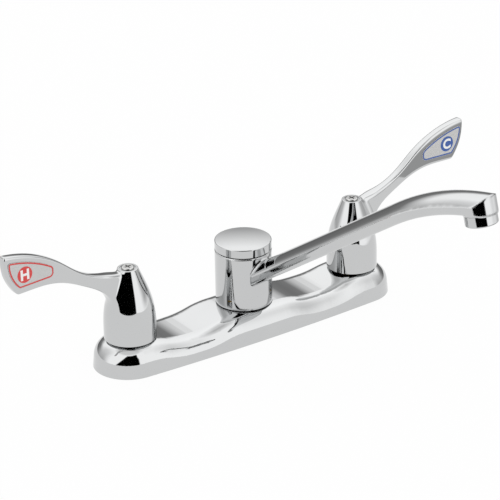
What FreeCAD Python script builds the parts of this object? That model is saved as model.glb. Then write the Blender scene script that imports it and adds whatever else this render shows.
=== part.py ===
import FreeCAD
import Part
import Sketcher
import math
import os
from types import SimpleNamespace

# Centreset kitchen faucet: two quarter-turn valves and a swinging spout on one deck plate.
# Millimetres, +Z up, +X towards the cold valve, the user stands on the -Y side.
# The origin is where the spout's axis meets the deck, so the deck plane is z = 0.

# Driving dimensions, millimetres and degrees
DIMENSIONS = {
    "handle_spacing": 203.2,
    "plate_end_overhang": 28.5,
    "plate_width": 59.6,
    "plate_end_radius": 26.9,
    "plate_draft": 5.5,
    "plate_crest": 21.6,
    "plate_dip": 4.2,
    "plate_edge_radius": 14.0,
    "plate_wall": 2.6,
    "dip_start": 20.0,
    "dip_floor": 6.0,
    "dip_handle_margin": 3.6,
    "gasket_thickness": 1.4,
    "gasket_inset": 1.2,
    "skirt_gap": 0.7,
    "collar_radius": 15.5,
    "collar_bottom": 1.8,
    "neck_radius": 13.5,
    "neck_height": 9.0,
    "chamber_radius": 11.0,
    "seat_height": 3.4,
    "inlet_bore": 6.2,
    "shank_radius": 10.4,
    "shank_length": 45.0,
    "coupling_radius": 10.15,
    "coupling_gap": 0.5,
    "deck_thickness": 12.0,
    "washer_radius": 19.0,
    "washer_thickness": 2.0,
    "nut_flats_radius": 16.5,
    "nut_height": 9.0,
    "tube_radius": 4.5,
    "tube_wall": 1.0,
    "tube_height": 8.2,
    "tube_engagement": 3.5,
    "post_radius": 12.95,
    "post_bore": 8.0,
    "post_floor": 3.4,
    "post_top": 61.8,
    "port_radius": 3.5,
    "port_height": 43.5,
    "o_ring_cord": 0.9,
    "lower_ring_height": 28.0,
    "upper_ring_height": 56.4,
    "clip_groove_depth": 1.4,
    "clip_thickness": 1.2,
    "clip_radius": 16.0,
    "clip_slot": 12.0,
    "glide_radius": 20.4,
    "glide_thickness": 1.5,
    "hub_radius": 21.4,
    "hub_top": 64.3,
    "hub_chamber_radius": 16.0,
    "hub_chamber_bottom": 33.0,
    "hub_chamber_top": 54.0,
    "counterbore_radius": 17.6,
    "counterbore_floor": 58.8,
    "cap_gap": 1.0,
    "cap_height": 6.5,
    "cap_plug_depth": 2.0,
    "cap_edge": 0.8,
    "cap_dome": 0.5,
    "spout_heading": -76.0,
    "arm_start": 8.0,
    "arm_root_height": 34.3,
    "arm_rise": 33.5,
    "arm_bend_start": 66.0,
    "arm_bend_radius": 165.0,
    "outlet_tilt": 13.0,
    "arm_width": 25.5,
    "arm_side": 7.7,
    "arm_crown": 6.3,
    "nose_reach": 214.7,
    "seam_drop": 4.2,
    "crease_radius": 3.2,
    "arm_edge_radius": 3.0,
    "root_radius": 1.5,
    "rim_radius": 0.5,
    "waterway_radius": 4.8,
    "waterway_lift": 2.2,
    "outlet_radius": 9.9,
    "outlet_depth": 6.5,
    "aerator_radius": 11.7,
    "aerator_height": 7.8,
    "aerator_thread": 4.2,
    "aerator_gap": 0.3,
    "aerator_bore": 8.4,
    "aerator_lip": 7.6,
    "aerator_lip_height": 1.2,
    "screen_thickness": 2.2,
    "handle_radius": 19.45,
    "handle_shoulder": 35.0,
    "handle_shoulder_radius": 55.0,
    "handle_cone": 19.0,
    "handle_top": 77.2,
    "handle_cavity_radius": 17.0,
    "handle_cavity_shoulder": 40.0,
    "handle_cavity_top": 58.0,
    "handle_cavity_tip": 10.5,
    "screw_recess_radius": 6.2,
    "screw_recess_depth": 0.6,
    "blade_thickness": 7.2,
    "blade_foot_height": 56.0,
    "blade_foot_rise": 28.0,
    "blade_neck_length": 44.6,
    "blade_belly_radius": 58.6,
    "blade_belly_droop": 1.2,
    "blade_bottom_length": 97.2,
    "blade_neck_radius": 64.1,
    "blade_top_rise": 43.0,
    "blade_back_radius": 87.1,
    "blade_tip_rise": 2.55,
    "blade_tip_radius": 65.0,
    "blade_corner_radius": 4.0,
    "blade_edge_radius": 3.0,
    "blade_flare_end": 26.0,
    "blade_flare_radius": 60.0,
    "hot_rest_turn": 3.0,
    "cold_rest_turn": 0.5,
    "index_thickness": 0.5,
    "index_inner": 66.2,
    "index_inner_height": 92.2,
    "index_outer_height": 91.4,
    "index_tip_inset": 4.0,
    "index_foot_inset": 2.2,
    "index_tip_radius": 28.0,
    "index_inset": 4.6,
    "index_corner_radius": 2.0,
    "index_end_radius": 3.7,
    "screw_head_radius": 4.85,
    "screw_head_height": 1.6,
    "screw_head_edge": 1.0,
    "screw_radius": 2.0,
    "screw_length": 14.0,
    "screw_slot": 1.2,
    "screw_slot_length": 5.6,
    "screw_slot_depth": 1.1,
    "bonnet_radius": 15.8,
    "bonnet_lip": 3.0,
    "cartridge_neck_radius": 8.0,
    "cartridge_top": 46.0,
    "cartridge_pocket_radius": 8.7,
    "cartridge_window_radius": 2.5,
    "stem_radius": 4.9,
    "stem_foot_thickness": 3.0,
    "stem_top": 69.4,
    "disc_radius": 8.5,
    "disc_thickness": 3.0,
    "disc_hole_radius": 2.4,
    "disc_hole_offset": 4.2,
    "seal_height": 2.2,
    "seal_bore": 5.2,
    "stem_ring_height": 38.0,
    "running_fit": 0.05,
    "fit_gap": 0.1,
    "face_gap": 0.04,
}


class Size:
    """A number together with the sheet formula that it comes from."""

    def __init__(self, number, formula):
        self.number = number
        self.formula = formula

    def __add__(self, other):
        return combine(self, "+", other, lambda first, second: first + second)

    def __radd__(self, other):
        return combine(other, "+", self, lambda first, second: first + second)

    def __sub__(self, other):
        return combine(self, "-", other, lambda first, second: first - second)

    def __rsub__(self, other):
        return combine(other, "-", self, lambda first, second: first - second)

    def __mul__(self, other):
        return combine(self, "*", other, lambda first, second: first * second)

    def __rmul__(self, other):
        return combine(other, "*", self, lambda first, second: first * second)

    def __truediv__(self, other):
        return combine(self, "/", other, lambda first, second: first / second)

    def __neg__(self):
        return Size(-self.number, "(0 - " + self.formula + ")")


def as_size(value):
    if isinstance(value, Size):
        return value
    return Size(float(value), repr(float(value)))


def combine(first, sign, second, work):
    first = as_size(first)
    second = as_size(second)
    formula = "(" + first.formula + " " + sign + " " + second.formula + ")"
    return Size(work(first.number, second.number), formula)


def sine(angle):
    return Size(math.sin(math.radians(angle.number)), "sin(" + angle.formula + ")")


def cosine(angle):
    return Size(math.cos(math.radians(angle.number)), "cos(" + angle.formula + ")")


def tangent(angle):
    return Size(math.tan(math.radians(angle.number)), "tan(" + angle.formula + ")")


def root(value):
    return Size(math.sqrt(value.number), "sqrt(" + value.formula + ")")


def larger(first, second):
    return Size(max(first.number, second.number), "max(" + first.formula + "; " + second.formula + ")")


def sag(radius, across):
    """How far an arc has fallen away from its tangent at a distance along it."""
    return radius - root(radius * radius - across * across)


doc = FreeCAD.newDocument("Faucet")
sheet = doc.addObject("Spreadsheet::Sheet", "Sizes")
size = SimpleNamespace()
for row, (name, number) in enumerate(DIMENSIONS.items(), start=1):
    sheet.set("A" + str(row), name)
    sheet.set("B" + str(row), str(number))
    sheet.setAlias("B" + str(row), name)
    setattr(size, name, Size(number, "Sizes." + name))
doc.recompute()

parts = []
ZERO = as_size(0)
TINY = 1e-9
SMALL = 1e-3
TOUCH = 0.01


def bind(thing, **values):
    """Ties properties of a document object to sheet formulas; two underlines stand for a dot."""
    for path, value in values.items():
        thing.setExpression(path.replace("__", "."), as_size(value).formula)


def keep(thing, label):
    """Marks a document object as a finished sub-part."""
    thing.Label = label
    parts.append(thing)
    return thing


def new_body(name):
    return doc.addObject("PartDesign::Body", name)


def origin_plane(body, role):
    for feature in body.Origin.OriginFeatures:
        if feature.Role == role:
            return feature
    raise ValueError(role)


def new_sketch(body, name, role):
    sketch = body.newObject("Sketcher::SketchObject", name)
    sketch.AttachmentSupport = [(origin_plane(body, role), "")]
    sketch.MapMode = "FlatFace"
    return sketch


def shift(sketch, right=ZERO, up=ZERO, out=ZERO, axis=None, angle=ZERO):
    """Moves a sketch in its plane's own directions and turns it about one of them."""
    if axis is not None:
        sketch.AttachmentOffset = FreeCAD.Placement(FreeCAD.Vector(), FreeCAD.Rotation(axis, angle.number))
        bind(sketch, AttachmentOffset__Rotation__Angle=angle)
    bind(sketch, AttachmentOffset__Base__x=right, AttachmentOffset__Base__y=up, AttachmentOffset__Base__z=out)


def arc_between(start, end, radius, turn):
    """The short arc from start to end; turn is 1 to the left and -1 to the right."""
    first = FreeCAD.Vector(start[0], start[1], 0)
    last = FreeCAD.Vector(end[0], end[1], 0)
    chord = last - first
    half = chord.Length / 2
    rise = radius - math.sqrt(max(radius * radius - half * half, 0))
    outward = FreeCAD.Vector(chord.y, -chord.x, 0).normalize() * turn
    middle = (first + last) * 0.5 + outward * rise
    if turn > 0:
        return Part.Arc(first, middle, last)
    return Part.Arc(last, middle, first)


def draw(sketch, corners, arcs=None, closed=True):
    """Draws lines and arcs through the corners, and ties each corner and radius to the sheet.

    arcs maps the number of a corner to the radius and turn of the arc that leaves it.
    """
    arcs = arcs or {}
    corners = [(as_size(across), as_size(up)) for across, up in corners]
    points = [(across.number, up.number) for across, up in corners]
    count = len(corners) if closed else len(corners) - 1
    edges = []
    starts = []
    ends = []
    for step in range(count):
        start = points[step]
        end = points[(step + 1) % len(points)]
        turn = 1
        if step in arcs:
            radius, turn = arcs[step]
            curve = arc_between(start, end, radius.number, turn)
        else:
            curve = Part.LineSegment(FreeCAD.Vector(*start, 0), FreeCAD.Vector(*end, 0))
        edges.append(sketch.addGeometry(curve, False))
        starts.append(1 if turn > 0 else 2)
        ends.append(2 if turn > 0 else 1)
    joins = count if closed else count - 1
    for step in range(joins):
        follower = (step + 1) % count
        meeting = (edges[step], ends[step], edges[follower], starts[follower])
        sketch.addConstraint(Sketcher.Constraint("Coincident", *meeting))
    for number, (across, up) in enumerate(corners):
        step = min(number, count - 1)
        point = starts[step] if number < count else ends[step]
        pin(sketch, edges[step], point, across, up)
    for step, (radius, turn) in arcs.items():
        fix_radius(sketch, edges[step], radius)


def pin(sketch, edge, point, across, up):
    """Fixes one point of a sketch at formulas for its two coordinates."""
    for kind, value, axis in (("DistanceX", across, -2), ("DistanceY", up, -1)):
        if abs(value.number) < TINY:
            sketch.addConstraint(Sketcher.Constraint("PointOnObject", edge, point, axis))
        else:
            index = sketch.addConstraint(Sketcher.Constraint(kind, -1, 1, edge, point, value.number))
            sketch.setExpression("Constraints[" + str(index) + "]", value.formula)


def fix_radius(sketch, edge, radius):
    index = sketch.addConstraint(Sketcher.Constraint("Radius", edge, radius.number))
    sketch.setExpression("Constraints[" + str(index) + "]", radius.formula)


def draw_circle(sketch, radius, across=ZERO, up=ZERO):
    centre = FreeCAD.Vector(across.number, up.number, 0)
    circle = Part.Circle(centre, FreeCAD.Vector(0, 0, 1), radius.number)
    edge = sketch.addGeometry(circle, False)
    pin(sketch, edge, 3, across, up)
    fix_radius(sketch, edge, radius)


def revolve(body, kind, sketch, name, half=False):
    """Turns a section about the sketch's upright axis: all round, or a quarter turn to each side."""
    feature = body.newObject("PartDesign::" + kind, name)
    feature.Profile = sketch
    feature.ReferenceAxis = (sketch, ["V_Axis"])
    feature.Angle = 180 if half else 360
    feature.Midplane = half
    sketch.Visibility = False
    doc.recompute()
    return feature


def extrude(body, kind, sketch, name, length, middle=False, reverse=False):
    """Adds a Pad or a Pocket and checks that it changed the body."""
    before = body.Shape.Volume if body.Tip else 0.0
    feature = body.newObject("PartDesign::" + kind, name)
    feature.Profile = sketch
    bind(feature, Length=length)
    feature.Midplane = middle
    feature.Reversed = reverse
    doc.recompute()
    if abs(body.Shape.Volume - before) < SMALL:
        raise ValueError(name + " changed nothing")
    return feature


def round_edges(body, name, radius, wanted):
    """Rounds the body's edges that the test accepts."""
    base = body.Tip
    names = []
    for number, edge in enumerate(base.Shape.Edges, start=1):
        if wanted(edge):
            names.append("Edge" + str(number))
    feature = body.newObject("PartDesign::Fillet", name)
    feature.Base = (base, names)
    bind(feature, Radius=radius)
    doc.recompute()
    return feature


def place(thing, across=ZERO, turn=ZERO):
    """Stands a sub-part at a distance along X, turned about its own upright axis."""
    position = FreeCAD.Vector(across.number, 0, 0)
    rotation = FreeCAD.Rotation(FreeCAD.Vector(0, 0, 1), turn.number)
    thing.Placement = FreeCAD.Placement(position, rotation)
    bind(thing, Placement__Base__x=across, Placement__Rotation__Angle=turn)


def turned(label, corners, across=ZERO, turn=ZERO, arcs=None):
    """A lathe-turned piece about an upright axis, from a half section of radius and height."""
    body = new_body(label)
    sketch = new_sketch(body, label + "_section", "XZ_Plane")
    draw(sketch, corners, arcs)
    revolve(body, "Revolution", sketch, label + "_turning")
    place(body, across, turn)
    return keep(body, label)


def ring(label, inner, outer, bottom, top, across=ZERO):
    return turned(label, [(inner, bottom), (outer, bottom), (outer, top), (inner, top)], across)


# Values that several pieces share
half_spacing = size.handle_spacing / 2
half_length = half_spacing + size.plate_end_overhang
half_width = size.plate_width / 2
pad_edge = half_spacing - size.dip_handle_margin
dip_run = (pad_edge - size.dip_start - size.dip_floor) / 2
dip_bend = (dip_run * dip_run + size.plate_dip * size.plate_dip) / (4 * size.plate_dip)
plate_under = size.plate_crest - size.plate_wall
skirt_height = size.plate_crest + size.skirt_gap
spout_bore = size.post_radius + size.running_fit
arm_half = size.arm_width / 2
bend_start = size.nose_reach - size.arm_bend_start
bend_start_height = size.arm_root_height + tangent(size.arm_rise) * bend_start
valve_neck_top = size.plate_crest + size.neck_height
washer_top = -size.deck_thickness
nut_top = washer_top - size.washer_thickness
nut_bottom = nut_top - size.nut_height
UP_AXIS = FreeCAD.Vector(0, 0, 1)
SIDES = (("hot", -1, 180 + size.hot_rest_turn), ("cold", 1, size.cold_rest_turn))


def plan_outline(sketch, inset):
    """The plate's plan: two end arcs that run tangent into two long side arcs."""
    length = half_length - inset
    width = half_width - inset
    end = size.plate_end_radius - inset
    reach = length - end
    side = (reach * reach + width * width - end * end) / (2 * (width - end))
    lean = end / (side - end)
    across = reach + reach * lean
    up = (side - width) * lean
    corners = [(across, -up), (across, up), (-across, up), (-across, -up)]
    draw(sketch, corners, {0: (end, 1), 1: (side, 1), 2: (end, 1), 3: (side, 1)})


def wave_corners(crest):
    """Corners and arcs of the plate's top line, from the cold end to the hot end."""
    end = half_length + size.plate_edge_radius
    drop = size.plate_dip
    right = [
        (end, crest),
        (pad_edge, crest),
        (pad_edge - dip_run / 2, crest - drop / 2),
        (pad_edge - dip_run, crest - drop),
        (size.dip_start + dip_run, crest - drop),
        (size.dip_start + dip_run / 2, crest - drop / 2),
        (size.dip_start, crest),
    ]
    left = [(-across, up) for across, up in reversed(right)]
    crest_bends = {edge: (dip_bend, 1) for edge in (1, 5, 7, 11)}
    dip_bends = {edge: (dip_bend, -1) for edge in (2, 4, 8, 10)}
    return right + left, {**crest_bends, **dip_bends}


def plate_form(name, inset):
    """The plate's waved block with rounded shoulders, drawn in by an inset on every side but the floor."""
    body = new_body(name)
    plan = new_sketch(body, name + "_plan", "XY_Plane")
    plan_outline(plan, inset)
    crest = size.plate_crest - inset
    height = size.plate_crest + size.plate_edge_radius
    block = extrude(body, "Pad", plan, name + "_block", height)
    bind(block, TaperAngle=-size.plate_draft)
    corners, arcs = wave_corners(crest)
    end = half_length + size.plate_edge_radius
    wave = new_sketch(body, name + "_wave", "XZ_Plane")
    draw(wave, corners + [(-end, height * 2), (end, height * 2)], arcs)
    extrude(body, "Pocket", wave, name + "_top", size.plate_width * 2, middle=True)
    low = crest.number - size.plate_dip.number
    round_edges(body, name + "_shoulder", size.plate_edge_radius - inset, lambda edge: on_rim(edge, low))
    return body


def collar_top(half):
    """How high a collar reaches under the plate, clear of the dip and shoulder, at this half width."""
    shoulder = size.plate_edge_radius - size.plate_wall
    flat = half - size.plate_wall - tangent(size.plate_draft) * size.plate_crest - shoulder
    under_shoulder = sag(shoulder, size.collar_radius - flat)
    under_dip = sag(dip_bend, size.collar_radius - size.dip_handle_margin)
    return plate_under - size.face_gap - larger(under_shoulder, under_dip)


def make_base_plate():
    form = plate_form("plate_form", ZERO)
    bores = new_sketch(form, "plate_bores", "XY_Plane")
    for side in (-1, 1):
        draw_circle(bores, size.neck_radius + size.fit_gap, half_spacing * side)
    draw_circle(bores, size.post_radius + size.fit_gap)
    extrude(form, "Pocket", bores, "plate_holes", size.plate_crest * 2, reverse=True)
    plate = doc.addObject("Part::Cut", "base_plate")
    plate.Base = form
    plate.Tool = plate_form("plate_hollow", size.plate_wall)
    doc.recompute()
    return keep(plate, "base_plate")


def on_rim(edge, low):
    """True for the edges where the waved top meets the wall."""
    box = edge.BoundBox
    if box.ZMin < low - TOUCH:
        return False
    ends = [vertex.Point.y for vertex in edge.Vertexes]
    if len(ends) == 2 and abs(ends[0] + ends[1]) < SMALL and box.XLength < TOUCH:
        return False
    return True


def make_gasket():
    """The flat gasket that fills the plate's open underside and lies on the deck."""
    body = new_body("deck_gasket")
    sketch = new_sketch(body, "gasket_plan", "XY_Plane")
    plan_outline(sketch, size.plate_wall + size.gasket_inset)
    for side in (-1, 1):
        draw_circle(sketch, size.shank_radius + size.fit_gap, half_spacing * side)
    extrude(body, "Pad", sketch, "gasket_sheet", size.gasket_thickness)
    place(body)
    return keep(body, "deck_gasket")


def bore_across(body, name, role, radius, height, length, both=False, reverse=False):
    """Drills a level hole through a turned piece at a height, square to one of its upright planes."""
    sketch = new_sketch(body, name + "_circle", role)
    draw_circle(sketch, radius, up=height)
    extrude(body, "Pocket", sketch, name, length, middle=both, reverse=reverse)


def make_valve_body(side_name, side):
    label = side_name + "_valve_body"
    coupling_top = nut_bottom - size.coupling_gap
    shelf = collar_top(size.plate_end_radius)
    body = turned(label, [
        (size.inlet_bore, -size.shank_length),
        (size.coupling_radius, -size.shank_length),
        (size.coupling_radius, coupling_top),
        (size.shank_radius, coupling_top),
        (size.shank_radius, size.collar_bottom),
        (size.collar_radius, size.collar_bottom),
        (size.collar_radius, shelf),
        (size.neck_radius, shelf),
        (size.neck_radius, valve_neck_top),
        (size.chamber_radius, valve_neck_top),
        (size.chamber_radius, size.seat_height),
        (size.inlet_bore, size.seat_height),
    ], half_spacing * side)
    socket = size.tube_radius + size.fit_gap
    bore_across(body, label + "_socket", "YZ_Plane", socket, size.tube_height,
                size.collar_radius * 2, reverse=side < 0)


def make_crossover_tube(side_name, side):
    """The tube that carries water from one valve body to the spout post."""
    label = side_name + "_crossover_tube"
    inner = size.collar_radius - size.tube_engagement
    length = half_spacing - inner * 2
    body = new_body(label)
    sketch = new_sketch(body, label + "_section", "YZ_Plane")
    draw_circle(sketch, size.tube_radius, up=size.tube_height)
    draw_circle(sketch, size.tube_radius - size.tube_wall, up=size.tube_height)
    extrude(body, "Pad", sketch, label + "_length", length)
    place(body, inner if side > 0 else inner - half_spacing)
    keep(body, label)


def make_spout_post():
    """The fixed upright tube that the spout turns on."""
    groove = size.post_radius - size.o_ring_cord * 2
    clip_bottom = size.counterbore_floor + size.fit_gap
    clip_top = clip_bottom + size.clip_thickness
    corners = [(ZERO, size.collar_bottom), (size.collar_radius, size.collar_bottom)]
    shelf = collar_top(half_width)
    corners += [(size.collar_radius, shelf), (size.post_radius, shelf)]
    for height in (size.lower_ring_height, size.upper_ring_height):
        low = height - size.o_ring_cord - size.fit_gap
        high = height + size.o_ring_cord + size.fit_gap
        corners += [(size.post_radius, low), (groove, low), (groove, high), (size.post_radius, high)]
    seat = size.post_radius - size.clip_groove_depth
    low = clip_bottom - size.face_gap
    high = clip_top + size.face_gap
    corners += [(size.post_radius, low), (seat, low), (seat, high), (size.post_radius, high)]
    corners += [(size.post_radius, size.post_top), (size.post_bore, size.post_top)]
    corners += [(size.post_bore, size.post_floor), (ZERO, size.post_floor)]
    body = turned("spout_post", corners)
    width = size.collar_radius * 4
    socket = size.tube_radius + size.fit_gap
    bore_across(body, "post_inlets", "YZ_Plane", socket, size.tube_height, width, both=True)
    for name, role in (("post_side_ports", "YZ_Plane"), ("post_front_ports", "XZ_Plane")):
        bore_across(body, name, role, size.port_radius, size.port_height, width, both=True)


def make_spout_seals():
    rings = []
    for name, height in (("lower", size.lower_ring_height), ("upper", size.upper_ring_height)):
        torus = doc.addObject("Part::Torus", name + "_spout_ring")
        bind(torus, Radius1=size.post_radius - size.o_ring_cord, Radius2=size.o_ring_cord,
             Placement__Base__z=height)
        rings.append(torus)
    pair = doc.addObject("Part::Compound", "spout_o_rings")
    pair.Links = rings
    keep(pair, "spout_o_rings")
    bottom = size.plate_crest + size.face_gap
    ring("spout_glide_ring", spout_bore, size.glide_radius, bottom, bottom + size.glide_thickness)


def make_retaining_clip():
    """The split clip in the post's groove that keeps the spout down."""
    bottom = size.counterbore_floor + size.fit_gap
    inner = size.post_radius - size.clip_groove_depth + size.face_gap
    body = ring("spout_retaining_clip", inner, size.clip_radius, bottom, bottom + size.clip_thickness)
    sketch = new_sketch(body, "clip_slot_outline", "XY_Plane")
    half = size.clip_slot / 2
    far = size.clip_radius * 2
    draw(sketch, [(-half, ZERO), (half, ZERO), (half, far), (-half, far)])
    extrude(body, "Pocket", sketch, "clip_slot", size.hub_top * 2, reverse=True)


def make_deck_fasteners():
    """Washers and hexagon nuts on the shanks, drawn up under the deck."""
    washers = []
    nuts = []
    for name, side in (("hot", -1), ("cold", 1)):
        hole = doc.addObject("Part::Cylinder", name + "_fastener_hole")
        bind(hole, Radius=size.shank_radius + size.fit_gap, Height=size.shank_length,
             Placement__Base__x=half_spacing * side, Placement__Base__z=-size.shank_length)
        disc = doc.addObject("Part::Cylinder", name + "_washer_disc")
        bind(disc, Radius=size.washer_radius, Height=size.washer_thickness,
             Placement__Base__x=half_spacing * side, Placement__Base__z=nut_top)
        block = doc.addObject("Part::Prism", name + "_nut_block")
        block.Polygon = 6
        bind(block, Circumradius=size.nut_flats_radius, Height=size.nut_height - size.face_gap,
             Placement__Base__x=half_spacing * side, Placement__Base__z=nut_bottom)
        for blank, group in ((disc, washers), (block, nuts)):
            drilled = doc.addObject("Part::Cut", blank.Name + "_drilled")
            drilled.Base = blank
            drilled.Tool = hole
            group.append(drilled)
    for label, group in (("mounting_washers", washers), ("mounting_nuts", nuts)):
        pair = doc.addObject("Part::Compound", label)
        pair.Links = group
        keep(pair, label)


def bend_height(past):
    """The height of the arm's middle line, a given way past the start of its bend."""
    lean = sine(size.arm_rise) - past / size.arm_bend_radius
    return bend_start_height + size.arm_bend_radius * (root(1 - lean * lean) - cosine(size.arm_rise))


nose_height = bend_height(size.arm_bend_start)


def arm_path(body, name, past):
    """The middle line of the arm's sides: a straight rise and one long bend, a given way past the outlet."""
    sketch = new_sketch(body, name, "XZ_Plane")
    rise = tangent(size.arm_rise)
    corners = [
        (size.arm_start, size.arm_root_height + rise * size.arm_start),
        (bend_start, bend_start_height),
        (size.nose_reach + past, bend_height(size.arm_bend_start + past)),
    ]
    draw(sketch, corners, {1: (size.arm_bend_radius, -1)}, closed=False)
    return sketch


arm_side_half = size.arm_side / 2
crown_radius = (arm_half * arm_half + size.arm_crown * size.arm_crown) / (2 * size.arm_crown)
crown_top = arm_side_half + size.arm_crown
crown_centre = crown_top - crown_radius
crease_reach = crown_radius - size.crease_radius
crease_across = arm_half - size.crease_radius
crease_up = crown_centre + root(crease_reach * crease_reach - crease_across * crease_across)
crown_stretch = crown_radius / crease_reach
crown_corners = [
    (arm_half, crease_up),
    (crease_across * crown_stretch, crown_centre + (crease_up - crown_centre) * crown_stretch),
]


def draw_arm_section(sketch):
    """Flat sides and underside with rounded corners, under a crowned top."""
    corner = size.arm_edge_radius
    crease = size.crease_radius
    right = [(arm_half - corner, -arm_side_half), (arm_half, corner - arm_side_half)] + crown_corners
    left = [(-across, up) for across, up in reversed(right)]
    arcs = {0: (corner, 1), 2: (crease, 1), 3: (crown_radius, 1), 4: (crease, 1), 6: (corner, 1)}
    draw(sketch, right + left, arcs)


def arm_section(body, name):
    """An empty sketch square to the start of the arm's path."""
    sketch = new_sketch(body, name, "YZ_Plane")
    height = size.arm_root_height + tangent(size.arm_rise) * size.arm_start
    shift(sketch, ZERO, height, size.arm_start, FreeCAD.Vector(1, 0, 0), -size.arm_rise)
    return sketch


def outlet_sketch(body, name, drop):
    """A sketch square to the outlet's axis, a given way below the arm's middle line."""
    sketch = new_sketch(body, name, "XY_Plane")
    across = size.nose_reach + sine(size.outlet_tilt) * drop
    height = nose_height - cosine(size.outlet_tilt) * drop
    shift(sketch, across, ZERO, height, FreeCAD.Vector(0, 1, 0), -size.outlet_tilt)
    return sketch


def sweep(body, kind, name, section, path):
    feature = body.newObject("PartDesign::" + kind, name)
    feature.Profile = section
    feature.Spine = path
    doc.recompute()
    return feature


def make_nose(body):
    """Turns the end of the arm to a round front, with a round boss for the aerator under it."""
    front = new_sketch(body, "nose_front_section", "XZ_Plane")
    shift(front, size.nose_reach, nose_height, ZERO, UP_AXIS, size.outlet_tilt)
    far = size.arm_width * 2
    draw(front, [(arm_half, -far), (far, -far), (far, far), (arm_half, far)])
    revolve(body, "Groove", front, "nose_front", half=True)
    boss = new_sketch(body, "nose_boss_section", "XZ_Plane")
    shift(boss, size.nose_reach, nose_height, ZERO, UP_AXIS, size.outlet_tilt)
    lip = size.rim_radius * 2
    draw(boss, [
        (ZERO, -size.seam_drop),
        (arm_half - lip, -size.seam_drop),
        (arm_half, lip - size.seam_drop),
        (arm_half, ZERO),
        (ZERO, ZERO),
    ], {1: (lip, 1)})
    revolve(body, "Revolution", boss, "nose_boss")


def make_spout():
    body = new_body("spout")
    hub = new_sketch(body, "hub_section", "XZ_Plane")
    draw(hub, [(ZERO, skirt_height), (size.hub_radius, skirt_height), (size.hub_radius, size.hub_top),
               (ZERO, size.hub_top)])
    revolve(body, "Revolution", hub, "hub_turning")
    section = arm_section(body, "arm_section")
    draw_arm_section(section)
    sweep(body, "AdditivePipe", "arm", section, arm_path(body, "arm_path", size.arm_width))
    round_edges(body, "arm_root", size.root_radius, on_arm_root)
    make_nose(body)
    bore = new_sketch(body, "hub_bore_section", "XZ_Plane")
    glide_top = size.plate_crest + size.face_gap * 2 + size.glide_thickness
    recess = size.glide_radius + size.fit_gap
    draw(bore, [
        (ZERO, ZERO),
        (recess, ZERO),
        (recess, glide_top),
        (spout_bore, glide_top),
        (spout_bore, size.hub_chamber_bottom),
        (size.hub_chamber_radius, size.hub_chamber_bottom),
        (size.hub_chamber_radius, size.hub_chamber_top),
        (spout_bore, size.hub_chamber_top),
        (spout_bore, size.counterbore_floor),
        (size.counterbore_radius, size.counterbore_floor),
        (size.counterbore_radius, size.hub_top * 2),
        (ZERO, size.hub_top * 2),
    ])
    revolve(body, "Groove", bore, "hub_bore")
    water = arm_section(body, "waterway_section")
    draw_circle(water, size.waterway_radius, up=size.waterway_lift)
    sweep(body, "SubtractivePipe", "waterway", water, arm_path(body, "waterway_path", ZERO))
    seat = outlet_sketch(body, "aerator_seat_circle", size.seam_drop)
    draw_circle(seat, size.aerator_radius + size.fit_gap)
    extrude(body, "Pocket", seat, "aerator_seat", size.aerator_height)
    outlet = outlet_sketch(body, "outlet_circle", size.seam_drop)
    draw_circle(outlet, size.outlet_radius)
    extrude(body, "Pocket", outlet, "outlet", size.outlet_depth, reverse=True)
    place(body, ZERO, size.spout_heading)
    return keep(body, "spout")


def on_arm_root(edge):
    """True for the edges where the arm leaves the hub."""
    for point in edge.discretize(9):
        if abs(math.hypot(point.x, point.y) - size.hub_radius.number) > TOUCH or point.x < TOUCH:
            return False
    box = edge.BoundBox
    upright = abs(edge.Vertexes[0].Y) < TOUCH and abs(edge.Vertexes[-1].Y) < TOUCH
    return not upright and box.ZMin > skirt_height.number + TOUCH and box.ZMax < size.hub_top.number - TOUCH


def make_cap():
    """The cap on the hub, with the ring that shows as a dark line under it."""
    bottom = size.hub_top + size.cap_gap
    top = bottom + size.cap_height
    plug = size.counterbore_radius - size.fit_gap
    floor = size.hub_top - size.cap_plug_depth
    rim = size.hub_radius - size.cap_edge
    dome = (rim * rim + size.cap_dome * size.cap_dome) / (2 * size.cap_dome)
    turned("spout_cap", [
        (ZERO, floor),
        (plug, floor),
        (plug, bottom),
        (size.hub_radius, bottom),
        (size.hub_radius, top - size.cap_edge),
        (rim, top),
        (ZERO, top + size.cap_dome),
    ], ZERO, size.spout_heading, {4: (size.cap_edge, 1), 5: (dome, 1)})
    ring("spout_cap_ring", plug + size.face_gap, rim - size.cap_edge,
         size.hub_top + size.face_gap, bottom - size.face_gap)


def outlet_piece(label, corners, arcs=None):
    """A turned piece about the outlet's axis; heights are counted down from the nose's seam."""
    body = new_body(label)
    sketch = new_sketch(body, label + "_section", "XZ_Plane")
    across = size.nose_reach + sine(size.outlet_tilt) * size.seam_drop
    height = nose_height - cosine(size.outlet_tilt) * size.seam_drop
    shift(sketch, across, height, ZERO, UP_AXIS, size.outlet_tilt)
    draw(sketch, corners, arcs)
    revolve(body, "Revolution", sketch, label + "_turning")
    place(body, ZERO, size.spout_heading)
    return keep(body, label)


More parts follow.
